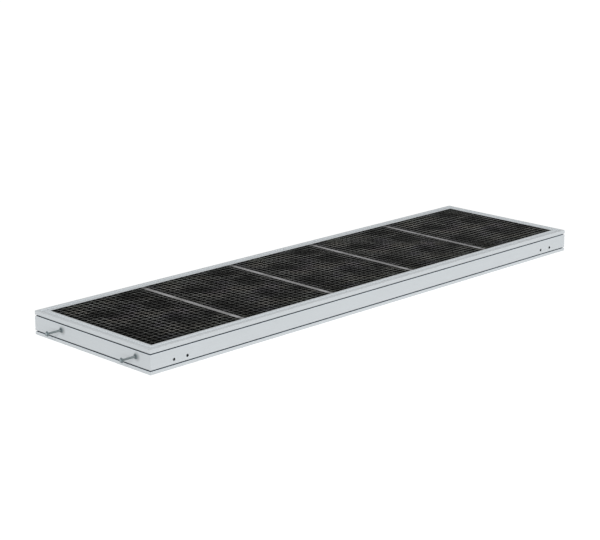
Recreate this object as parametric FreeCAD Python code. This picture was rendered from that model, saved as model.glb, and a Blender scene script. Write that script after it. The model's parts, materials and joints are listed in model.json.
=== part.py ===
import FreeCAD, Part
import math
import os

# Grating walkway section: an extruded frame, cross bars, five steel gratings and two end bolts
# Millimetres, X along the walkway, Y across it, Z up from the floor

# Frame
frame_length = 3070.0
frame_width = 860.0
frame_height = 120.0
rail_top = 52.0
rail_wall = 4.0
edge_radius = 0.5
inner_edge_radius = 0.5

# Two T-slots that run round the outside of the frame
lower_groove = 18.1
upper_groove = 96.7
groove_slot = 4.5
groove_edge_radius = 3.5
groove_lip = 4.0
pocket_width = 11.0
pocket_depth = 8.0

# Shallow channel along the middle of the rail's top
channel_width = 21.0
channel_depth = 5.5
channel_edge_radius = 0.8

# Ledge that the gratings lie on
top_step = 1.0
grating_depth = 30.0
ledge_width = 25.0
ledge_thickness = 5.0

# Fixing holes in the long sides, two near each end
side_hole = 11.0
side_hole_height = 43.3
side_hole_first = 140.0
side_hole_spacing = 80.0

# Cross bars between the gratings
bar_first = 620.5
bar_pitch = 600.0
bar_count = 4
bar_width = 24.0
bar_wall = 4.0
bar_bottom = 40.0
bar_edge_radius = 1.0
seat_clearance = 1.0

# Gratings
mesh_pitch = 600.0 / 18.0
bearing_bar = 3.0
cross_rod = 3.0
cross_rod_depth = 12.0
edge_band = 3.0
grating_clearance = 1.0

# Bolts that stand out of one end, each locked by a flanged nut
bolt_across = (102.0, 654.0)
bolt_height = 66.6
bolt_thread = 10.0
bolt_length = 100.0
bolt_stand_out = 80.0
bolt_tip_chamfer = 1.0
head_flange = 26.0
head_flange_edge = 1.2
head_cone = 2.0
head_hex = 15.0
head_height = 9.0
head_chamfer = 1.0
nut_flange = 26.0
nut_height = 6.0
thread_clearance = 0.1

ledge_height = frame_height - top_step - grating_depth
deck_height = frame_height - top_step
bolt_reach = bolt_stand_out + head_height
frame_start = (bolt_reach - frame_length) / 2
side_start = -frame_width / 2
bar_places = [bar_first + bar_pitch * i for i in range(bar_count)]

V = FreeCAD.Vector
X_AXIS = V(1, 0, 0)
Z_AXIS = V(0, 0, 1)


def rounded_outline(corners, place):
    """Closed wire through corners (u, v, radius), each rounded by its radius"""
    edges = []
    count = len(corners)
    starts = []
    ends = []
    mids = []
    for i in range(count):
        before = V(*corners[i - 1][:2], 0)
        here = V(*corners[i][:2], 0)
        after = V(*corners[(i + 1) % count][:2], 0)
        radius = corners[i][2]
        back = (before - here).normalize()
        ahead = (after - here).normalize()
        if radius == 0:
            starts.append(here)
            ends.append(here)
            mids.append(None)
            continue
        half = back.getAngle(ahead) / 2
        reach = radius / math.tan(half)
        to_middle = (back + ahead).normalize()
        centre = here + to_middle * (radius / math.sin(half))
        starts.append(here + back * reach)
        ends.append(here + ahead * reach)
        mids.append(centre - to_middle * radius)
    for i in range(count):
        following = (i + 1) % count
        if mids[i] is not None:
            arc = Part.Arc(place(starts[i]), place(mids[i]), place(ends[i]))
            edges.append(arc.toShape())
        edges.append(Part.makeLine(place(ends[i]), place(starts[following])))
    return Part.Wire(edges)


def box(x0, x1, y0, y1, z0, z1):
    return Part.makeBox(x1 - x0, y1 - y0, z1 - z0, V(x0, y0, z0))


def groove_outside(height):
    """Slot and wider pocket of a T-slot, met going up the outer face"""
    low = height - groove_slot / 2
    high = height + groove_slot / 2
    pocket_low = height - pocket_width / 2
    pocket_high = height + pocket_width / 2
    back = groove_lip + pocket_depth
    return [(0, low, groove_edge_radius), (groove_lip, low, 0), (groove_lip, pocket_low, 0), (back, pocket_low, 0),
            (back, pocket_high, 0), (groove_lip, pocket_high, 0), (groove_lip, high, 0), (0, high, groove_edge_radius)]


def groove_inside(height):
    """Wall behind a T-slot, met going up the inside of the outer wall"""
    low = height - pocket_width / 2 - rail_wall
    high = height + pocket_width / 2 + rail_wall
    deep = groove_lip + pocket_depth + rail_wall
    return [(rail_wall, low, 0), (deep, low, 0), (deep, high, 0), (rail_wall, high, 0)]


def rail_outside():
    """Corners of the rail's outline: distance in from the outer face, then height"""
    top = frame_height
    channel_start = (rail_top - channel_width) / 2
    channel_end = (rail_top + channel_width) / 2
    floor = top - channel_depth
    ledge_end = rail_top + ledge_width
    under = ledge_height - ledge_thickness
    corners = [(0, 0, edge_radius)]
    corners += groove_outside(lower_groove)
    corners += groove_outside(upper_groove)
    corners += [(0, top, edge_radius)]
    corners += [(channel_start, top, channel_edge_radius), (channel_start, floor, channel_edge_radius)]
    corners += [(channel_end, floor, channel_edge_radius), (channel_end, top, channel_edge_radius)]
    corners += [(rail_top, top, inner_edge_radius), (rail_top, ledge_height, 0)]
    corners += [(ledge_end, ledge_height, 0), (ledge_end, under, 0), (rail_top, under, 0)]
    corners += [(rail_top, 0, edge_radius)]
    return corners


def rail_inside():
    """Corners of the rail's hollow, one wall behind its grooves and under its channel"""
    roof = frame_height - rail_wall
    low_roof = roof - channel_depth
    dip_start = (rail_top - channel_width) / 2 - rail_wall
    dip_end = (rail_top + channel_width) / 2 + rail_wall
    far = rail_top - rail_wall
    corners = [(rail_wall, rail_wall, 0)]
    corners += groove_inside(lower_groove)
    corners += groove_inside(upper_groove)
    corners += [(rail_wall, roof, 0), (dip_start, roof, 0), (dip_start, low_roof, 0)]
    corners += [(dip_end, low_roof, 0), (dip_end, roof, 0), (far, roof, 0), (far, rail_wall, 0)]
    return corners


def rail(length, holes, height, diameter):
    """Mitred hollow rail along X with its outer face on Y = 0, drilled through the outer wall"""
    def across(point):
        return V(0, point.x, point.y)
    outside = rounded_outline(rail_outside(), across)
    inside = rounded_outline(rail_inside(), across)
    bar = Part.Face(outside).extrude(X_AXIS * length)
    bar = bar.cut(Part.Face(inside).extrude(X_AXIS * length))
    deep = rail_top + ledge_width + 1
    mitre = Part.makePolygon([V(0, 0, -1), V(length, 0, -1), V(length - deep, deep, -1),
                              V(deep, deep, -1), V(0, 0, -1)])
    bar = bar.common(Part.Face(mitre).extrude(Z_AXIS * (frame_height + 2)))
    for x in holes:
        drill = Part.makeCylinder(diameter / 2, rail_wall + 2, V(x, -1, height), V(0, 1, 0))
        bar = bar.cut(drill)
    return bar.Solids[0]


def placed(shape, turn, x, y):
    """Copy turned about Z, then moved so that its start lies at x, y of the frame"""
    copy = shape.copy()
    copy.rotate(V(0, 0, 0), Z_AXIS, turn)
    copy.translate(V(frame_start + x, side_start + y, 0))
    return copy


def cross_bar(x):
    """Hollow bar with a flange each side, its top standing between two gratings"""
    half = bar_width / 2
    wing = half + ledge_width
    under = ledge_height - ledge_thickness
    corners = [(-half, bar_bottom, 0), (-half, under, 0), (-wing, under, 0), (-wing, ledge_height, 0)]
    corners += [(-half, ledge_height, 0), (-half, deck_height, bar_edge_radius)]
    corners += [(half, deck_height, bar_edge_radius), (half, ledge_height, 0)]
    corners += [(wing, ledge_height, 0), (wing, under, 0), (half, under, 0), (half, bar_bottom, 0)]
    start = rail_top + seat_clearance
    length = frame_width - 2 * start
    outer = rounded_outline(corners, lambda p: V(p.x, 0, p.y))
    bar = Part.Face(outer).extrude(V(0, length, 0))
    core = half - bar_wall
    bar = bar.cut(box(-core, core, -1, length + 1, bar_bottom + bar_wall, deck_height - bar_wall))
    for y in (0, length - ledge_width):
        bar = bar.cut(box(-wing - 1, wing + 1, y - 0.001, y + ledge_width + 0.001, 0, ledge_height))
    bar = bar.Solids[0]
    bar.translate(V(frame_start + x, side_start + start, 0))
    return bar


def slab(outline, openings, low, high):
    """Flat plate between two heights with rectangular openings (x0, x1, y0, y1)"""
    def loop(x0, x1, y0, y1):
        return Part.makePolygon([V(x0, y0, low), V(x1, y0, low), V(x1, y1, low), V(x0, y1, low), V(x0, y0, low)])
    plate = Part.Face([loop(*outline)] + [loop(*o).reversed() for o in openings])
    return plate.extrude(V(0, 0, high - low))


def gaps(edges, bars, thickness):
    """Open spaces between two bands and the bars that lie between them"""
    stops = [edges[0] + edge_band]
    for b in bars:
        stops += [b - thickness / 2, b + thickness / 2]
    stops.append(edges[1] - edge_band)
    return list(zip(stops[0::2], stops[1::2]))


def grating(x0, x1, rods):
    """Bearing bars along X, shallower rods across them level with the top, and an edge band"""
    y0 = rail_top + grating_clearance
    y1 = frame_width - y0
    bars_across = int((y1 - y0 - 2 * edge_band) // mesh_pitch)
    first = (frame_width - mesh_pitch * (bars_across - 1)) / 2
    bars = [first + mesh_pitch * i for i in range(bars_across)]
    columns = gaps((x0, x1), rods, cross_rod)
    rows = gaps((y0, y1), bars, bearing_bar)
    rod_bottom = deck_height - cross_rod_depth
    cells = [c + r for c in columns for r in rows]
    slots = [(x0 + edge_band, x1 - edge_band) + r for r in rows]
    upper = slab((x0, x1, y0, y1), cells, rod_bottom, deck_height)
    lower = slab((x0, x1, y0, y1), slots, ledge_height, rod_bottom)
    whole = upper.fuse(lower).removeSplitter().Solids[0]
    whole.translate(V(frame_start, side_start, 0))
    return whole


def hexagon(across_flats, height):
    radius = across_flats / math.sqrt(3)
    points = [V(radius * math.cos(math.pi / 3 * i), radius * math.sin(math.pi / 3 * i), 0) for i in range(7)]
    return Part.Face(Part.makePolygon(points)).extrude(Z_AXIS * height)


def flanged_hex(height, flange):
    """Hexagon with a coned flange at Z = 0 and a chamfered outer end"""
    corner = head_hex / math.sqrt(3)
    end = Part.makeCone(corner + height - head_chamfer, corner - head_chamfer, height)
    body = hexagon(head_hex, height).common(end)
    rim = Part.makeCylinder(flange / 2, head_flange_edge)
    cone = Part.makeCone(flange / 2, head_hex / 2, head_cone, V(0, 0, head_flange_edge))
    return body.fuse([rim, cone]).removeSplitter()


def end_bolt():
    """Bolt along Z with the underside of its flange at Z = 0 and its shank below"""
    plain = bolt_length - bolt_tip_chamfer
    radius = bolt_thread / 2
    shank = Part.makeCylinder(radius, plain, V(0, 0, -plain))
    tip = Part.makeCone(radius - bolt_tip_chamfer, radius, bolt_tip_chamfer, V(0, 0, -bolt_length))
    return flanged_hex(head_height, head_flange).fuse([shank, tip]).removeSplitter().Solids[0]


def end_nut():
    bore = Part.makeCylinder(bolt_thread / 2 + thread_clearance, nut_height + 2, V(0, 0, -1))
    return flanged_hex(nut_height, nut_flange).cut(bore).Solids[0]


def on_end(shape, stand_out, across):
    """Turn a fastener so that it points out of the bolted end and set it on its hole"""
    copy = shape.copy()
    copy.rotate(V(0, 0, 0), V(0, 1, 0), -90)
    copy.translate(V(frame_start - stand_out, side_start + across, bolt_height))
    return copy


parts = {}

hole_places = [side_hole_first, side_hole_first + side_hole_spacing]
hole_places += [frame_length - x for x in hole_places]
side_rail = rail(frame_length, hole_places, side_hole_height, side_hole)
bolt_hole = bolt_thread + 2 * thread_clearance
bolted_rail = rail(frame_width, [frame_width - y for y in bolt_across], bolt_height, bolt_hole)
plain_rail = rail(frame_width, [], 0, 0)
parts["side_rail_front"] = placed(side_rail, 0, 0, 0)
parts["side_rail_back"] = placed(side_rail, 180, frame_length, frame_width)
parts["end_rail_bolted"] = placed(bolted_rail, -90, 0, frame_width)
parts["end_rail_plain"] = placed(plain_rail, 90, frame_length, 0)

for i, x in enumerate(bar_places):
    parts["cross_bar_%d" % (i + 1)] = cross_bar(x)

field_starts = [rail_top] + [x + bar_width / 2 for x in bar_places]
field_ends = [x - bar_width / 2 for x in bar_places] + [frame_length - rail_top]
rod_places = [bar_first + mesh_pitch * k for k in range(-20, int(frame_length / mesh_pitch))]


def field_grating(field):
    """Grating of one field, its rods in step with the mesh of the whole walkway"""
    x0 = field_starts[field] + grating_clearance
    x1 = field_ends[field] - grating_clearance
    least = 4 * edge_band
    return grating(x0, x1, [x for x in rod_places if x0 + least < x < x1 - least])


parts["grating_1"] = field_grating(0)
middle_grating = field_grating(1)
for i in range(1, bar_count):
    parts["grating_%d" % (i + 1)] = middle_grating.translated(V(bar_pitch * (i - 1), 0, 0))
parts["grating_%d" % (bar_count + 1)] = field_grating(bar_count)

for name, across in zip(("front", "back"), bolt_across):
    parts["end_bolt_" + name] = on_end(end_bolt(), bolt_stand_out, across)
    parts["end_nut_" + name] = on_end(end_nut(), 0, across)

os.makedirs("parts", exist_ok=True)
for name, shape in parts.items():
    shape.exportStep("parts/" + name + ".step")
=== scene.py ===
import json
import math

import bmesh
import bpy
from mathutils import Matrix, Vector


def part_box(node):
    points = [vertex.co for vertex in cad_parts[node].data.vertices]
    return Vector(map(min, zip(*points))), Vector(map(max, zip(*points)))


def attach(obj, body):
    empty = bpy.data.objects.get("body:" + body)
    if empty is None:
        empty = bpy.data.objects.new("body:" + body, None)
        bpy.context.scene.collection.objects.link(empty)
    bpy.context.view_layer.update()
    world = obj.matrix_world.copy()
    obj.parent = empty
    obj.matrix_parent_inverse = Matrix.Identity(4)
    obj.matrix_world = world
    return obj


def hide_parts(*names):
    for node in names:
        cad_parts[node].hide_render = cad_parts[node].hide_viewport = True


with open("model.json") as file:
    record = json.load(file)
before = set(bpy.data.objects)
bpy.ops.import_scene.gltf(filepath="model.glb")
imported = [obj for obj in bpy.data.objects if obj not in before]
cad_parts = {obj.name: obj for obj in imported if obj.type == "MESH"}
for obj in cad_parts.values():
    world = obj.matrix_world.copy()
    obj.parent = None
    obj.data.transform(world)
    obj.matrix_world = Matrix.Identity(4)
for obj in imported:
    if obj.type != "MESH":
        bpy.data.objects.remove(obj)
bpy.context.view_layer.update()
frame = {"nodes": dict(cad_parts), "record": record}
nodes = frame["nodes"]

SIDE_RAILS = ("side_rail_front", "side_rail_back")
END_RAILS = ("end_rail_bolted", "end_rail_plain")
CROSS_BARS = tuple("cross_bar_%d" % i for i in range(1, 5))
GRATINGS = tuple("grating_%d" % i for i in range(1, 6))
BOLTS = ("end_bolt_front", "end_bolt_back")
NUTS = ("end_nut_front", "end_nut_back")


def middle_of(node_name):
    low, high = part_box(node_name)
    return (low + high) / 2


# Rails, cross bars and gratings, in metres, from the frame
side_low, side_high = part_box("side_rail_front")
HALF_WIDTH = -side_low.y
HALF_LENGTH = (side_high.x - side_low.x) / 2
FRAME_MIDDLE_X = (side_high.x + side_low.x) / 2
FRAME_MIDDLE_Z = side_high.z / 2
BOLTED_END_X = side_low.x
RAIL_DEPTH = side_high.y - side_low.y
FIRST_BAR_X = middle_of("cross_bar_1").x
BAR_PITCH = middle_of("cross_bar_2").x - FIRST_BAR_X
BAR_HALF_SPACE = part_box("grating_2")[0].x - FIRST_BAR_X
GRATING_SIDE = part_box("grating_1")[1].y
GRATING_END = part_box("grating_1")[0].x - BOLTED_END_X

# Fasteners and side holes, in metres, from the frame
nut_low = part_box("end_nut_front")[0]
nut_front = middle_of("end_nut_front")
nut_back = middle_of("end_nut_back")
BOLT_MIDDLE_Y = (nut_back.y + nut_front.y) / 2
BOLT_HALF_SPACING = (nut_back.y - nut_front.y) / 2
BOLT_HEIGHT = nut_front.z
NUT_RADIUS = nut_front.z - nut_low.z
NUT_END_X = nut_low.x
HEAD_END_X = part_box("end_bolt_front")[0].x
mounts = {mount["name"]: mount for mount in frame["record"]["mounts"]}
side_holes = mounts["side_holes_front_plain_end"]
SIDE_HOLE_MIDDLE = side_holes["pos_m"][0] - FRAME_MIDDLE_X
SIDE_HOLE_HEIGHT = side_holes["pos_m"][2]
SIDE_HOLE_HALF_SPACING = side_holes["dims"]["spacing_x_mm"] / 2000
SIDE_HOLE_RADIUS = side_holes["dims"]["hole_r_mm"] / 1000

# Section of the rails and edge of the gratings, in metres, as in the part
LOWER_GROOVE = 0.0181
UPPER_GROOVE = 0.0967
GROOVE_HALF_POCKET = 0.0055
GROOVE_BACK = 0.0120
CHANNEL_START = 0.0155
CHANNEL_END = 0.0365
CHANNEL_FLOOR = 0.1145
EDGE_BAND = 0.0030


def shade(red, green, blue):
    """Colour as a paint chart gives it, 0 to 255, turned into the linear values that a shader takes"""
    def linear(value):
        share = value / 255
        return share / 12.92 if share <= 0.04045 else ((share + 0.055) / 1.055) ** 2.4
    return (linear(red), linear(green), linear(blue), 1.0)


# Share of a soft patch's reach, round its middle, that has the patch's full weight
PATCH_CORE = 0.2


class Finish:
    """A material under construction, with short words for the nodes that finishes share"""

    def __init__(self, name):
        self.material = bpy.data.materials.new(name)
        self.material.use_nodes = True
        self.tree = self.material.node_tree
        self.surface = self.tree.nodes["Principled BSDF"]
        self.place = self.node("ShaderNodeTexCoord").outputs["Object"]

    def node(self, kind, **settings):
        made = self.tree.nodes.new(kind)
        for key, value in settings.items():
            setattr(made, key, value)
        return made

    def feed(self, socket, value):
        if isinstance(value, bpy.types.NodeSocket):
            self.tree.links.new(value, socket)
        else:
            socket.default_value = value

    def maths(self, kind, *values):
        made = self.node("ShaderNodeMath", operation=kind)
        for socket, value in zip(made.inputs, values):
            self.feed(socket, value)
        return made.outputs[0]

    def plus(self, first, second):
        return self.maths("ADD", first, second)

    def minus(self, first, second):
        return self.maths("SUBTRACT", first, second)

    def times(self, first, second):
        return self.maths("MULTIPLY", first, second)

    def times_plus(self, value, factor, added):
        return self.maths("MULTIPLY_ADD", value, factor, added)

    def size(self, value):
        return self.maths("ABSOLUTE", value)

    def least(self, first, second):
        return self.maths("MINIMUM", first, second)

    def most(self, first, second):
        return self.maths("MAXIMUM", first, second)

    def wrapped(self, value, low, high):
        return self.maths("WRAP", value, high, low)

    def span(self, value, low, high, to_low=0.0, to_high=1.0):
        made = self.node("ShaderNodeMapRange", interpolation_type="SMOOTHSTEP")
        self.feed(made.inputs["Value"], value)
        made.inputs["From Min"].default_value = low
        made.inputs["From Max"].default_value = high
        made.inputs["To Min"].default_value = to_low
        made.inputs["To Max"].default_value = to_high
        return made.outputs["Result"]

    def above(self, value, limit, fade):
        """0 below the limit, 1 from a fade above it"""
        return self.span(value, limit, limit + fade)

    def below(self, value, limit, fade):
        """1 below the limit, 0 from a fade above it"""
        return self.span(value, limit + fade, limit)

    def axes(self, vector):
        made = self.node("ShaderNodeSeparateXYZ")
        self.feed(made.inputs[0], vector)
        return made.outputs[0], made.outputs[1], made.outputs[2]

    def point(self, x, y, z):
        made = self.node("ShaderNodeCombineXYZ")
        for socket, value in zip(made.inputs, (x, y, z)):
            self.feed(socket, value)
        return made.outputs[0]

    def facing_up(self):
        return self.axes(self.node("ShaderNodeNewGeometry").outputs["Normal"])[2]

    def stretch(self, vector, scale=(1, 1, 1), shift=(0, 0, 0)):
        made = self.node("ShaderNodeMapping")
        self.feed(made.inputs["Vector"], vector)
        made.inputs["Scale"].default_value = scale
        made.inputs["Location"].default_value = shift
        return made.outputs[0]

    def noise(self, vector, scale, detail, rough):
        made = self.node("ShaderNodeTexNoise")
        self.feed(made.inputs["Vector"], vector)
        made.inputs["Scale"].default_value = scale
        made.inputs["Detail"].default_value = detail
        made.inputs["Roughness"].default_value = rough
        return made.outputs["Fac"]

    def mix(self, share, first, second, blend="MIX"):
        made = self.node("ShaderNodeMix", data_type="RGBA", blend_type=blend)
        self.feed(made.inputs["Factor"], share)
        self.feed(made.inputs["A"], first)
        self.feed(made.inputs["B"], second)
        return next(out for out in made.outputs if out.type == "RGBA")

    def tinted(self, share, colour, tint):
        """Colour multiplied by a tint, as far as the share goes"""
        return self.mix(share, colour, self.mix(1.0, colour, (*tint, 1.0), "MULTIPLY"))

    def relief(self, height, depth):
        made = self.node("ShaderNodeBump")
        made.inputs["Strength"].default_value = 1.0
        made.inputs["Distance"].default_value = depth
        self.feed(made.inputs["Height"], height)
        self.feed(self.surface.inputs["Normal"], made.outputs["Normal"])

    def in_field(self, start):
        """Place on the level within one field of the walkway, so that every grating or bar is marked alike"""
        x, y = self.axes(self.place)[:2]
        along = self.wrapped(self.minus(x, FIRST_BAR_X), start, start + BAR_PITCH)
        return self.point(along, y, 0.0)

    def marked(self, level, place, marks):
        """Level raised or lowered in soft round patches, each with its middle, its reach and its weight"""
        for x, y, reach, weight in marks:
            away = self.node("ShaderNodeVectorMath", operation="DISTANCE")
            self.feed(away.inputs[0], place)
            away.inputs[1].default_value = (x, y, 0)
            patch = self.span(away.outputs["Value"], reach, PATCH_CORE * reach)
            level = self.times_plus(patch, weight, level)
        return level

    def from_end(self, x):
        """Distance inward from the nearer end of the frame"""
        return self.minus(HALF_LENGTH, self.size(self.minus(x, FRAME_MIDDLE_X)))

    def from_pair(self, along, middle, half_spacing, height, level):
        """Distance from the axis of the nearer of two holes or bolts that lie mirrored about a middle"""
        out = self.minus(self.size(self.minus(along, middle)), half_spacing)
        up = self.minus(height, level)
        return self.maths("SQRT", self.plus(self.maths("POWER", out, 2.0), self.maths("POWER", up, 2.0)))

    def coat(self, node_names):
        for name in node_names:
            mesh = nodes[name].data
            mesh.materials.clear()
            mesh.materials.append(self.material)


# Seams of the rails, and the shade painted in their grooves, channels and bores and beside the nuts, in
# metres
MARGIN = 0.0010
LIP_FACE = 0.0003
SEAM_HALF_WIDTH = 0.0001
SEAM_INNER_FADE = 0.0020
CHANNEL_FADE = 0.0004
HOLE_RIM = 0.0013
# Depth of the painted shade in the bores
BORE_SHADE_DEPTH = 0.0060
# Shift and reach of the painted shadow beside each nut
NUT_SHADOW_SHIFT = 0.0085
NUT_SHADOW_REACH = 0.0300

# How much the painted shade darkens the tops at the far end and at the back, as shares of its full strength
TOP_SHADE_ALONG = 0.65
TOP_SHADE_ACROSS = 0.38

# How often the extrusion's lines change along a rail and across it, in each metre
LINES_ALONG = 3
LINES_ACROSS = 700


def groove_painted_shade(paint, metal, z, inward, groove_shade_start, groove_shade_lean):
    """Painted shade in both grooves: a cool tint behind the lips, and dark colour further in"""
    half_gap = (UPPER_GROOVE - LOWER_GROOVE) / 2
    over_groove = paint.wrapped(paint.minus(z, LOWER_GROOVE), -half_gap, half_gap)
    in_groove = paint.below(paint.size(over_groove), GROOVE_HALF_POCKET + MARGIN / 2, fade=0.0010)
    behind_lip = paint.above(inward, LIP_FACE, fade=0.0012)
    # Painted shade: a cool tint behind the lips of the grooves
    metal = paint.tinted(paint.times(in_groove, behind_lip), metal, (1.0, 1.06, 1.12))
    shade_depth_reached = paint.above(paint.times_plus(over_groove, groove_shade_lean, inward), groove_shade_start, fade=0.0012)
    deep = paint.times(shade_depth_reached, paint.below(inward, GROOVE_BACK + MARGIN, fade=0.0020))
    # Painted shade: dark colour deeper in the grooves
    return paint.mix(paint.times(in_groove, deep), metal, shade(24, 36, 48))


def mitre_seams(paint, metal, from_side, from_end, inward):
    """Hairlines where two rails meet at a corner"""
    on_seam = paint.below(paint.size(paint.minus(from_side, from_end)), SEAM_HALF_WIDTH, fade=0.0003)
    strength = paint.span(inward, RAIL_DEPTH, SEAM_INNER_FADE, 0.0, 0.6)
    return paint.mix(paint.times(on_seam, strength), metal, shade(120, 124, 126))


def painted_top_shade(paint, metal, place, inward, channel_shade):
    """Painted shade: tops darker towards the far back corner, and a darker floor in the channel"""
    x, y, z = place
    in_channel = paint.times(paint.above(inward, CHANNEL_START - CHANNEL_FADE, fade=CHANNEL_FADE),
                             paint.below(inward, CHANNEL_END, fade=CHANNEL_FADE))
    in_channel = paint.times(in_channel, paint.above(z, CHANNEL_FLOOR - 2 * MARGIN, fade=MARGIN))
    # Painted shade: the floor of the channel darkened
    if channel_shade:
        on_floor = paint.times(in_channel, paint.below(z, CHANNEL_FLOOR + MARGIN, fade=0.0020))
        metal = paint.mix(paint.times(on_floor, channel_shade), metal, shade(150, 154, 157))
    # Painted shade: tops, the channel included, darker towards the far end and the back
    far = paint.times(paint.minus(x, BOLTED_END_X), TOP_SHADE_ALONG / (2 * HALF_LENGTH))
    far = paint.times_plus(paint.plus(y, HALF_WIDTH), TOP_SHADE_ACROSS / (2 * HALF_WIDTH), far)
    on_top = paint.most(paint.span(paint.facing_up(), 0.6, 0.95), in_channel)
    return paint.tinted(paint.times(on_top, far), metal, (0.88, 0.877, 0.877))


def bore_painted_shade(paint, metal, x, z, inward):
    """Painted shade in the bores and on the rims of the side holes, two near each end"""
    from_middle = paint.size(paint.minus(x, FRAME_MIDDLE_X))
    out = paint.from_pair(from_middle, SIDE_HOLE_MIDDLE, SIDE_HOLE_HALF_SPACING, z, SIDE_HOLE_HEIGHT)
    in_bore = paint.times(paint.below(out, SIDE_HOLE_RADIUS + HOLE_RIM, fade=0.0010),
                          paint.below(inward, BORE_SHADE_DEPTH, fade=0.0005))
    # Painted shade: the bores and a rim round each hole made dark
    return paint.mix(in_bore, metal, shade(20, 22, 24))


def painted_nut_shadows(paint, metal, place):
    """A soft painted shadow at each nut on the bolted end, shifted towards the front"""
    x, y, z = place
    out = paint.from_pair(y, BOLT_MIDDLE_Y - NUT_SHADOW_SHIFT, BOLT_HALF_SPACING, z, BOLT_HEIGHT)
    on_bolted_end = paint.below(x, BOLTED_END_X + MARGIN, fade=MARGIN)
    # Painted shadow: the end rail darkened round each nut
    nut_shadow = paint.times(on_bolted_end, paint.below(out, 0.0, fade=NUT_SHADOW_REACH))
    return paint.tinted(nut_shadow, metal, (0.5, 0.5, 0.5))


def rail_aluminium(name, die_lines, groove_shade_start, groove_shade_lean, channel_shade):
    """Satin aluminium with faint lines along the extrusion, seams at the corners, and painted shade in the
    grooves and bores, on the tops and in the channel, and beside the nuts
    """
    paint = Finish(name)
    place = paint.axes(paint.place)
    x, y, z = place
    from_side = paint.minus(HALF_WIDTH, paint.size(y))
    from_end = paint.from_end(x)
    inward = paint.least(from_side, from_end)
    lines = paint.noise(paint.stretch(paint.place, die_lines), scale=1.0, detail=4.0, rough=0.6)
    smudge = paint.noise(paint.place, scale=4.0, detail=3.0, rough=0.5)
    metal = paint.mix(paint.span(lines, 0.35, 0.65), shade(210, 215, 218), shade(214, 219, 222))
    metal = paint.mix(paint.span(smudge, 0.40, 0.70, 0.0, 0.12), metal, shade(206, 210, 212))
    # Painted shade in the grooves
    metal = groove_painted_shade(paint, metal, z, inward, groove_shade_start, groove_shade_lean)
    metal = mitre_seams(paint, metal, from_side, from_end, inward)
    # Painted shade on the tops and in the channel
    metal = painted_top_shade(paint, metal, place, inward, channel_shade)
    # Painted shade in the side holes
    metal = bore_painted_shade(paint, metal, x, z, inward)
    # Painted shadow beside the nuts
    metal = painted_nut_shadows(paint, metal, place)
    paint.feed(paint.surface.inputs["Base Color"], metal)
    paint.feed(paint.surface.inputs["Roughness"], paint.span(lines, 0.3, 0.7, 0.52, 0.64))
    paint.surface.inputs["Specular IOR Level"].default_value = 0.10
    paint.surface.inputs["Metallic"].default_value = 0.12
    paint.relief(lines, depth=0.00002)
    return paint


# Where a grating is less worn and more worn: along its field, across it, reach and weight
GRATING_MARKS = ((0.120, -0.280, 0.11, -0.12), (0.110, -0.120, 0.11, -0.12), (0.195, 0.151, 0.10, -0.12),
                 (0.400, -0.195, 0.10, -0.10), (0.560, -0.190, 0.09, -0.10), (0.460, 0.088, 0.11, -0.12),
                 (0.480, 0.305, 0.13, -0.10), (0.300, -0.003, 0.13, 0.11), (0.250, 0.297, 0.11, 0.12),
                 (0.110, 0.047, 0.08, 0.11), (0.095, 0.263, 0.09, 0.12), (0.500, -0.070, 0.09, 0.09),
                 (0.250, -0.220, 0.09, 0.06), (0.475, -0.305, 0.08, 0.08))

# Weight of the noise in a grating's wear, and what is added to it before the marks
WEAR_NOISE = (0.6, 0.206)

# Distance from the middle of the walkway at which the greenish tint starts and is full, in metres
SIDE_TINT = (0.26, 0.36)


def worn_grey(paint, field, sideways, grain):
    """Grey of the worn bar tops, lighter and darker in patches, with faint cool, warm and greenish tints"""
    patches = paint.noise(field, scale=9.0, detail=3.0, rough=0.55)
    patches = paint.marked(paint.times_plus(patches, *WEAR_NOISE), field, GRATING_MARKS)
    cool = paint.noise(paint.stretch(field, shift=(3.1, 1.7, 0)), scale=6.0, detail=2.0, rough=0.5)
    warm = paint.noise(paint.stretch(field, shift=(7.3, 4.9, 0)), scale=6.0, detail=2.0, rough=0.5)
    grey = paint.mix(paint.span(patches, 0.33, 0.69), shade(50, 51, 49), shade(160, 161, 158))
    grey = paint.tinted(paint.span(cool, 0.48, 0.66), grey, (0.985, 0.935, 1.085))
    grey = paint.tinted(paint.span(warm, 0.48, 0.66), grey, (1.055, 0.995, 0.945))
    grey = paint.tinted(paint.span(sideways, *SIDE_TINT), grey, (0.955, 1.025, 0.990))
    return paint.mix(paint.span(grain, 0.3, 0.7, 0.0, 0.25), grey, shade(40, 39, 37))


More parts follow.
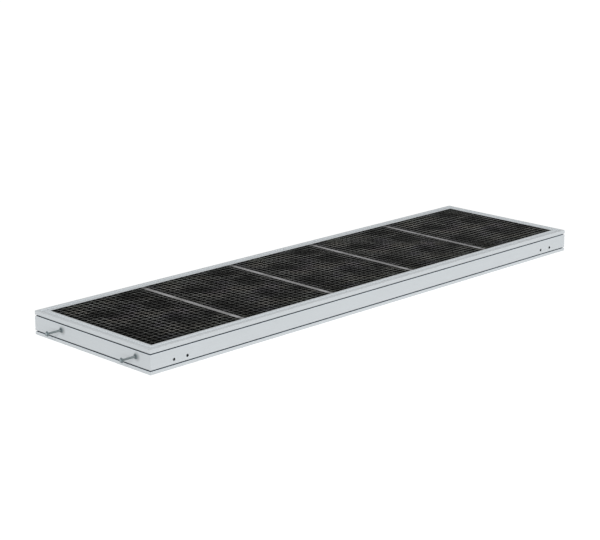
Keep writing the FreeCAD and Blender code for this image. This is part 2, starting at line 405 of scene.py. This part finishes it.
def grating_black():
    """Black coated steel whose bar tops, inside the edge band, are walked to a dark grey, with painted light
    that makes all of it lighter towards the plain end
    """
    paint = Finish("grating_black")
    x = paint.axes(paint.place)[0]
    field = paint.in_field(0.0)
    sideways = paint.size(paint.axes(field)[1])
    from_bar = paint.size(paint.axes(paint.in_field(-BAR_PITCH / 2))[0])
    inside = paint.least(paint.minus(GRATING_SIDE, sideways), paint.minus(paint.from_end(x), GRATING_END))
    inside = paint.least(inside, paint.minus(from_bar, BAR_HALF_SPACE))
    on_bar_tops = paint.times(paint.span(paint.facing_up(), 0.4, 0.9),
                              paint.above(inside, EDGE_BAND, fade=0.0004))
    # Painted light: the grating lighter towards the plain end
    painted_shading_toward_plain_end = paint.span(x, BOLTED_END_X, BOLTED_END_X + 2 * HALF_LENGTH)
    grain = paint.noise(paint.place, scale=900.0, detail=2.0, rough=0.6)
    grey = paint.tinted(painted_shading_toward_plain_end, worn_grey(paint, field, sideways, grain), (1.12, 1.12, 1.11))
    black = paint.mix(painted_shading_toward_plain_end, shade(16, 16, 16), shade(27, 27, 27))
    paint.feed(paint.surface.inputs["Base Color"], paint.mix(on_bar_tops, black, grey))
    paint.feed(paint.surface.inputs["Roughness"], paint.span(grain, 0.2, 0.8, 0.52, 0.70))
    paint.surface.inputs["Specular IOR Level"].default_value = 0.06
    paint.relief(grain, depth=0.00008)
    return paint


# Where a cross bar is darker and lighter, in the same four values
BAR_MARKS = ((0.0, -0.318, 0.05, 0.14), (0.0, -0.240, 0.05, -0.03), (0.0, -0.150, 0.08, -0.03),
             (0.0, 0.0, 0.07, 0.04), (0.0, 0.078, 0.05, -0.06), (0.0, 0.180, 0.09, 0.05),
             (0.0, 0.320, 0.06, -0.04))

# Weight of the noise in a cross bar's mottling, and what is added to it before the marks
MOTTLE_NOISE = (0.25, 0.338)

# Painted shade at the ends of the cross bars, where they meet the rails: across the walkway, where it starts
# and is full, and its strength there
BACK_END_SHADE = (0.336, 0.350, 0.0, 0.95)
FRONT_END_SHADE = (-0.340, -0.352, 0.0, 0.45)

# Number of bar pitches over which painted shade darkens the cross bars
BAR_SHADE_PITCHES = 3.4


def cross_bar_steel():
    """Dull galvanised steel with soft mottling, painted shade where its ends meet the rails, and painted
    shade that darkens it towards the plain end
    """
    paint = Finish("cross_bar_steel")
    x = paint.axes(paint.place)[0]
    field = paint.in_field(-BAR_PITCH / 2)
    across = paint.axes(field)[1]
    mottle = paint.noise(paint.stretch(field, shift=(0.4, 0.2, 0)), scale=9.0, detail=3.0, rough=0.6)
    mottle = paint.marked(paint.times_plus(mottle, *MOTTLE_NOISE), field, BAR_MARKS)
    spangle = paint.noise(paint.place, scale=160.0, detail=2.0, rough=0.5)
    metal = paint.mix(paint.span(mottle, 0.38, 0.62), shade(102, 101, 101), shade(164, 164, 165))
    metal = paint.mix(paint.span(spangle, 0.35, 0.65, 0.0, 0.2), metal, shade(142, 142, 143))
    # Painted shade: the cross bars darker towards the plain end
    painted_shading_toward_plain_end = paint.span(x, FIRST_BAR_X, FIRST_BAR_X + BAR_SHADE_PITCHES * BAR_PITCH)
    metal = paint.tinted(painted_shading_toward_plain_end, metal, (0.79, 0.79, 0.80))
    # Painted shade where the ends of the cross bars meet the rails
    grime_and_shade = paint.most(paint.span(across, *BACK_END_SHADE), paint.span(across, *FRONT_END_SHADE))
    metal = paint.mix(grime_and_shade, metal, shade(36, 36, 36))
    paint.feed(paint.surface.inputs["Base Color"], metal)
    paint.feed(paint.surface.inputs["Roughness"], paint.span(mottle, 0.3, 0.7, 0.50, 0.65))
    paint.surface.inputs["Metallic"].default_value = 0.2
    paint.relief(spangle, depth=0.00003)
    return paint


# End bolts, in metres, as in the part, and their thread
BOLT_LENGTH = 0.100
BOLT_STAND_OUT = 0.080
HEAD_UNDERSIDE_X = BOLTED_END_X - BOLT_STAND_OUT
SHANK_STUB = 0.0006
TIP_LENGTH = 0.0020
TIP_TAPER = 0.0006
THREAD_PITCH = 0.0015
THREAD_TOP = 0.0050
THREAD_ROOT = 0.0041
THREAD_STEPS = 20

# Outline of one turn of the thread: radius, and share of the pitch
THREAD_OUTLINE = ((THREAD_ROOT, 0.0), (THREAD_ROOT, 0.125), (THREAD_TOP, 0.44), (THREAD_TOP, 0.56),
                  (THREAD_ROOT, 0.875), (THREAD_ROOT, 1.0))

# Working tolerances of the bolts' meshes, in metres, and the angle past which their edges stay sharp
MERGE_DISTANCE = 0.00001
CUT_DISTANCE = 0.000001
SHARP_ANGLE = math.radians(28)

# Radius at which the flanges start to turn paler, in metres
PALE_RIM_START = 0.0075


def fastener_zinc():
    """Dark clouded zinc, paler on the rims and on the ends of the heads, with grime in the thread"""
    paint = Finish("fastener_zinc")
    x, y, z = paint.axes(paint.place)
    cloud = paint.noise(paint.place, scale=140.0, detail=3.0, rough=0.55)
    clouded = paint.span(cloud, 0.3, 0.7)
    out = paint.from_pair(y, BOLT_MIDDLE_Y, BOLT_HALF_SPACING, z, BOLT_HEIGHT)
    on_rim = paint.span(out, PALE_RIM_START, NUT_RADIUS, 0.0, 0.5)
    on_head_end = paint.below(x, HEAD_END_X + 0.0005, fade=0.0010)
    metal = paint.mix(clouded, shade(87, 95, 98), shade(101, 110, 113))
    metal = paint.tinted(paint.most(on_rim, on_head_end), metal, (2.70, 2.66, 2.64))
    past_head = paint.above(x, HEAD_UNDERSIDE_X, fade=SHANK_STUB)
    in_thread = paint.times(past_head, paint.below(x, NUT_END_X - 0.0008, fade=0.0003))
    grime_and_shade = paint.mix(clouded, shade(107, 116, 118), shade(131, 140, 142))
    paint.feed(paint.surface.inputs["Base Color"], paint.mix(in_thread, metal, grime_and_shade))
    paint.feed(paint.surface.inputs["Roughness"], paint.span(cloud, 0.3, 0.7, 0.38, 0.52))
    paint.surface.inputs["Metallic"].default_value = 0.2
    paint.surface.inputs["Specular IOR Level"].default_value = 0.2
    paint.relief(cloud, depth=0.00002)
    return paint


def open_edges(shape):
    return [edge for edge in shape.edges if len(edge.link_faces) == 1]


def add_thread(shape):
    """Screw thread about Z, from just inside the head at Z = 0 down to the tip"""
    turns = int((BOLT_LENGTH - TIP_LENGTH) / THREAD_PITCH)
    start = SHANK_STUB - turns * THREAD_PITCH
    corners = [shape.verts.new((radius, 0, start + share * THREAD_PITCH)) for radius, share in THREAD_OUTLINE]
    ridge = [shape.edges.new(pair) for pair in zip(corners, corners[1:])]
    bmesh.ops.spin(shape, geom=corners + ridge, cent=(0, 0, 0), axis=(0, 0, 1),
                   dvec=(0, 0, THREAD_PITCH / THREAD_STEPS), angle=math.tau * (turns - 1),
                   steps=THREAD_STEPS * (turns - 1))
    bmesh.ops.remove_doubles(shape, verts=shape.verts[:], dist=MERGE_DISTANCE)
    bmesh.ops.holes_fill(shape, edges=open_edges(shape), sides=0)
    bmesh.ops.recalc_face_normals(shape, faces=shape.faces[:])
    # The recalculation can leave the whole thread inside out, and its volume is then negative
    if shape.calc_volume(signed=True) < 0:
        bmesh.ops.reverse_faces(shape, faces=shape.faces[:])
    bmesh.ops.create_cone(shape, cap_ends=True, segments=THREAD_STEPS, radius1=THREAD_ROOT - TIP_TAPER,
                          radius2=THREAD_ROOT, depth=TIP_LENGTH,
                          matrix=Matrix.Translation((0, 0, TIP_LENGTH / 2 - BOLT_LENGTH)))


def threaded_bolt(node_name, finish):
    """The bolt's own head, cut off below its flange, on a shank with a real thread"""
    head = bmesh.new()
    head.from_mesh(nodes[node_name].data)
    bmesh.ops.remove_doubles(head, verts=head.verts[:], dist=MERGE_DISTANCE)
    bmesh.ops.bisect_plane(head, geom=head.verts[:] + head.edges[:] + head.faces[:], dist=CUT_DISTANCE,
                           plane_co=(HEAD_UNDERSIDE_X + SHANK_STUB, 0, 0), plane_no=(1, 0, 0),
                           clear_outer=True)
    bmesh.ops.holes_fill(head, edges=open_edges(head), sides=0)
    shank = bmesh.new()
    add_thread(shank)
    middle = middle_of(node_name)
    along_bolt = Matrix.Rotation(math.radians(-90), 4, "Y")
    under_head = Matrix.Translation((HEAD_UNDERSIDE_X, middle.y, middle.z))
    bmesh.ops.transform(shank, matrix=under_head @ along_bolt, verts=shank.verts[:])
    mesh = bpy.data.meshes.new(node_name + "_threaded")
    shank.to_mesh(mesh)
    head.from_mesh(mesh)
    head.to_mesh(mesh)
    head.free()
    shank.free()
    mesh.polygons.foreach_set("use_smooth", [True] * len(mesh.polygons))
    mesh.set_sharp_from_angle(angle=SHARP_ANGLE)
    mesh.materials.append(finish.material)
    bolt = bpy.data.objects.new(node_name + "_threaded", mesh)
    bpy.context.scene.collection.objects.link(bolt)
    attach(bolt, "root")
    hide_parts(node_name)


side_finish = rail_aluminium("rail_aluminium_side", die_lines=(LINES_ALONG, LINES_ACROSS, LINES_ACROSS),
                             groove_shade_start=0.0029, groove_shade_lean=-0.5, channel_shade=0.08)
side_finish.coat(SIDE_RAILS)
end_finish = rail_aluminium("rail_aluminium_end", die_lines=(LINES_ACROSS, LINES_ALONG, LINES_ACROSS),
                            groove_shade_start=0.0009, groove_shade_lean=0.2, channel_shade=0.0)
end_finish.coat(END_RAILS)
grating_black().coat(GRATINGS)
cross_bar_steel().coat(CROSS_BARS)
zinc = fastener_zinc()
zinc.coat(NUTS)
for bolt_node in BOLTS:
    threaded_bolt(bolt_node, zinc)

# Floor and light
FLOOR_SIZE = 120.0
FLOOR_ALBEDO = 0.50
FLOOR_GLOW = 0.70
SKY_LEVEL = 0.45
KEY_LEVEL = 2.29
KEY_FROM = Vector((-0.600, -0.700, 0.366))
KEY_SPREAD = math.radians(40)


def looked_at(tree):
    """1 on rays that show a thing, directly, in a reflection or through glass, and 0 on all others"""
    rays = tree.nodes.new("ShaderNodeLightPath")
    seen = rays.outputs["Is Camera Ray"]
    for kind in ("Is Glossy Ray", "Is Transmission Ray"):
        either = tree.nodes.new("ShaderNodeMath")
        either.operation = "MAXIMUM"
        tree.links.new(seen, either.inputs[0])
        tree.links.new(rays.outputs[kind], either.inputs[1])
        seen = either.outputs[0]
    return seen


def pale_floor():
    """Large pale floor, lifted to white where it is looked at"""
    shape = bmesh.new()
    bmesh.ops.create_grid(shape, x_segments=1, y_segments=1, size=FLOOR_SIZE / 2)
    mesh = bpy.data.meshes.new("floor")
    shape.to_mesh(mesh)
    shape.free()
    floor = bpy.data.objects.new("floor", mesh)
    bpy.context.scene.collection.objects.link(floor)
    paint = Finish("floor_white")
    paint.surface.inputs["Base Color"].default_value = (FLOOR_ALBEDO, FLOOR_ALBEDO, FLOOR_ALBEDO, 1)
    paint.surface.inputs["Roughness"].default_value = 1.0
    paint.surface.inputs["Specular IOR Level"].default_value = 0.0
    paint.surface.inputs["Emission Color"].default_value = (1, 1, 1, 1)
    glow = paint.times(looked_at(paint.tree), FLOOR_GLOW)
    paint.feed(paint.surface.inputs["Emission Strength"], glow)
    mesh.materials.append(paint.material)


def soft_sky():
    """Even white light from all round, shown as white behind the object and in its reflections"""
    world = bpy.data.worlds.new("soft_sky")
    bpy.context.scene.world = world
    world.use_nodes = True
    tree = world.node_tree
    background = tree.nodes["Background"]
    background.inputs["Color"].default_value = (1, 1, 1, 1)
    level = tree.nodes.new("ShaderNodeMapRange")
    level.inputs["To Min"].default_value = SKY_LEVEL
    level.inputs["To Max"].default_value = 1.0
    tree.links.new(looked_at(tree), level.inputs["Value"])
    tree.links.new(level.outputs["Result"], background.inputs["Strength"])


def key_light():
    """Broad lamp behind the camera, slightly to its right, which makes the long side the lightest face"""
    lamp = bpy.data.lights.new("key", "SUN")
    lamp.energy = KEY_LEVEL
    lamp.angle = KEY_SPREAD
    holder = bpy.data.objects.new("key", lamp)
    holder.rotation_euler = KEY_FROM.to_track_quat("Z", "Y").to_euler()
    bpy.context.scene.collection.objects.link(holder)


# Camera, fitted to the edges of the frame in the photograph, in metres, pixels and millimetres of sensor
CAMERA_AZIMUTH = math.radians(-44.781)
CAMERA_ELEVATION = math.radians(15.5555)
CAMERA_ROLL = math.radians(-0.1176)
CAMERA_DISTANCE = 8.7911
CAMERA_AIM_RIGHT = -0.11726
CAMERA_AIM_UP = 0.04113
CAMERA_REACH = 500.0
FOCUS_PIXELS = 1670.39
IMAGE_WIDTH = 600
SENSOR_WIDTH = 36.0


def photo_camera():
    """Camera at the photograph's angle, which looks at a point beside the middle of the frame"""
    back = Vector((math.sin(CAMERA_AZIMUTH) * math.cos(CAMERA_ELEVATION),
                   -math.cos(CAMERA_AZIMUTH) * math.cos(CAMERA_ELEVATION),
                   math.sin(CAMERA_ELEVATION)))
    level_right = Vector((0, 0, 1)).cross(back).normalized()
    level_up = back.cross(level_right)
    turn = Matrix.Rotation(CAMERA_ROLL, 3, back)
    right = turn @ level_right
    up = turn @ level_up
    middle = Vector((FRAME_MIDDLE_X, 0, FRAME_MIDDLE_Z))
    eye = middle + right * CAMERA_AIM_RIGHT + up * CAMERA_AIM_UP + back * CAMERA_DISTANCE
    lens = bpy.data.cameras.new("photo_camera")
    lens.sensor_fit = "HORIZONTAL"
    lens.sensor_width = SENSOR_WIDTH
    lens.lens = SENSOR_WIDTH * FOCUS_PIXELS / IMAGE_WIDTH
    lens.clip_end = CAMERA_REACH
    camera = bpy.data.objects.new("photo_camera", lens)
    camera.matrix_world = Matrix((right, up, back)).transposed().to_4x4()
    camera.location = eye
    bpy.context.scene.collection.objects.link(camera)
    bpy.context.scene.camera = camera


pale_floor()
soft_sky()
key_light()
photo_camera()
bpy.context.scene.view_settings.view_transform = "Standard"
